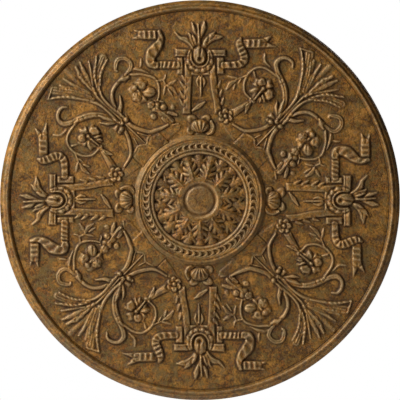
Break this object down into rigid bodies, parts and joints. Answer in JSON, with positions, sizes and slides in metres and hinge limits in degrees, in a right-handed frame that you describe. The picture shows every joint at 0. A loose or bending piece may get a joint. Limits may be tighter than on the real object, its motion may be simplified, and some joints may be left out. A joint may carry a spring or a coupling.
{
  "type": "ceiling medallion",
  "caption": "Round ceiling medallion with a flat back, raised rim, ringed central boss and carved scrollwork, ribbons and rosettes.",
  "frame": {"origin": "centre of the flat back face, which lies against the ceiling", "axes": "+Y out of the flat back, towards the ceiling; the carved face looks along -Y; +Z is the top of the carving as pictured. Turn it a quarter turn about X to lay it on a ceiling, carved face down"},
  "size_m": [0.84, 0.0312, 0.84],
  "materials": {
    "bronze_finish": "antique rubbed bronze paint over moulded foam: mottled mid brown with rust, olive and golden patches, pale worn ridges and dark hollows, satin"
  },
  "bodies": {
    "root": {"medallion": "bronze_finish"}
  },
  "joints": []
}
